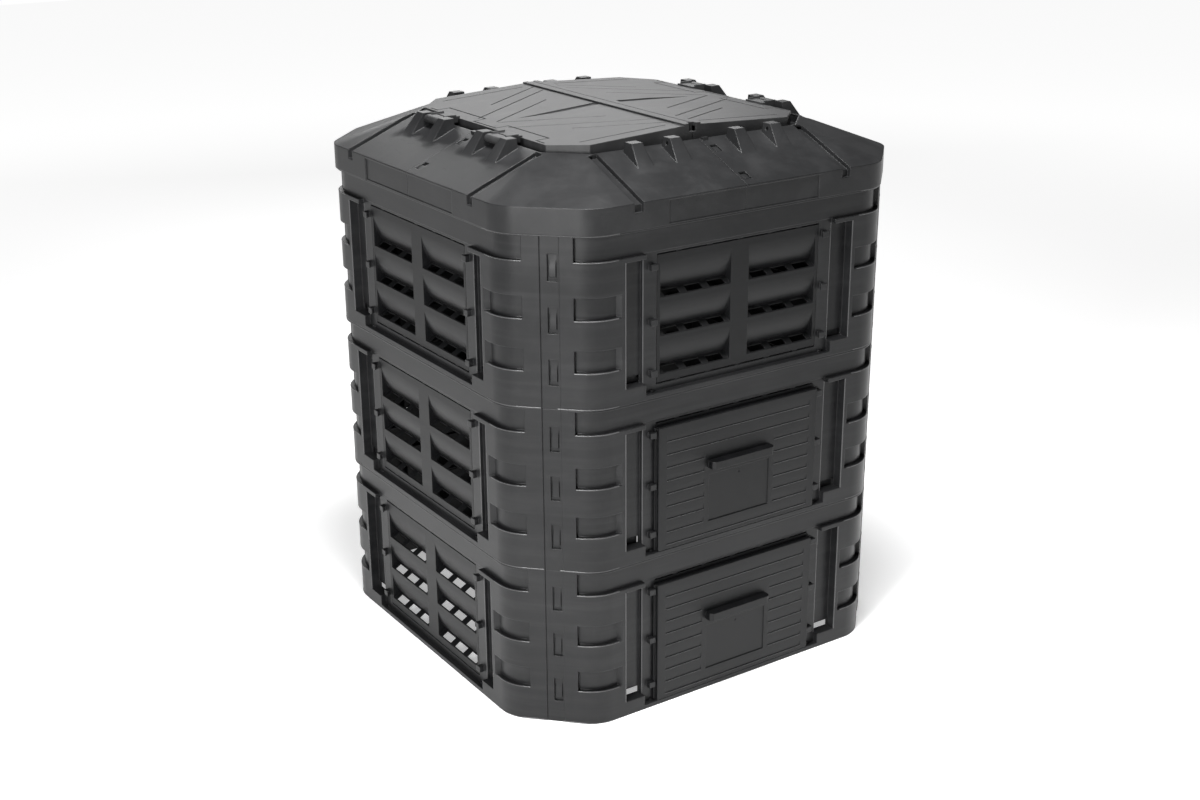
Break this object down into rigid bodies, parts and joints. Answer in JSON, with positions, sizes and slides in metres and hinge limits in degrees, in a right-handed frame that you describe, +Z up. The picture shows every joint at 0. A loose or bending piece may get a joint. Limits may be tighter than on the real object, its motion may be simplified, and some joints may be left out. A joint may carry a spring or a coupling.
{
  "type": "compost bin",
  "caption": "Black plastic modular compost bin with chamfered corners, stacked tiers of louvred side panels, sliding front hatches and a hipped roof with a two-leaf hinged lid.",
  "frame": {"origin": "on the ground at the middle of the bin's footprint", "axes": "+Z up; -Y is the front, with the hatches; +X to the right seen from the front"},
  "size_m": [0.933, 0.9485, 1.1289],
  "materials": {
    "panel_plastic": "satin, injection moulded",
    "insert_plastic": "satin, injection moulded",
    "roof_plastic": "satin, injection moulded",
    "pin_plastic": "satin, injection moulded",
    "lid_plastic": "satin, injection moulded",
    "hatch_plastic": "satin, injection moulded"
  },
  "bodies": {
    "bin": {"front_panel_1": "panel_plastic", "right_panel_1": "panel_plastic", "back_panel_1": "panel_plastic", "left_panel_1": "panel_plastic", "front_panel_2": "panel_plastic", "right_panel_2": "panel_plastic", "back_panel_2": "panel_plastic", "left_panel_2": "panel_plastic", "front_panel_3": "panel_plastic", "right_panel_3": "panel_plastic", "back_panel_3": "panel_plastic", "left_panel_3": "panel_plastic", "right_louvre_1": "insert_plastic", "back_louvre_1": "insert_plastic", "left_louvre_1": "insert_plastic", "right_louvre_2": "insert_plastic", "back_louvre_2": "insert_plastic", "left_louvre_2": "insert_plastic", "front_louvre_3": "insert_plastic", "right_louvre_3": "insert_plastic", "back_louvre_3": "insert_plastic", "left_louvre_3": "insert_plastic", "hatch_frame_1": "insert_plastic", "hatch_frame_2": "insert_plastic", "roof_front_left": "roof_plastic", "roof_front_right": "roof_plastic", "roof_back_right": "roof_plastic", "roof_back_left": "roof_plastic", "hinge_pin_left_front": "pin_plastic", "hinge_pin_left_back": "pin_plastic", "hinge_pin_right_front": "pin_plastic", "hinge_pin_right_back": "pin_plastic"},
    "lid_leaf_left": {"lid_left": "lid_plastic"},
    "lid_leaf_right": {"lid_right": "lid_plastic"},
    "hatch_lower": {"hatch_1": "hatch_plastic"},
    "hatch_upper": {"hatch_2": "hatch_plastic"}
  },
  "joints": [
    {"name": "lid_left_hinge", "type": "hinge", "parent": "bin", "child": "lid_leaf_left", "pos_m": [-0.336, 0, 1.1065], "axis": [0, -1, 0], "range_deg": [0, 110]},
    {"name": "lid_right_hinge", "type": "hinge", "parent": "bin", "child": "lid_leaf_right", "pos_m": [0.336, 0, 1.1065], "axis": [0, 1, 0], "range_deg": [0, 110]},
    {"name": "lower_hatch_slide", "type": "slide", "parent": "bin", "child": "hatch_lower", "axis": [0, 0, 1], "range_m": [0, 0.058]},
    {"name": "upper_hatch_slide", "type": "slide", "parent": "bin", "child": "hatch_upper", "axis": [0, 0, 1], "range_m": [0, 0.058]}
  ]
}
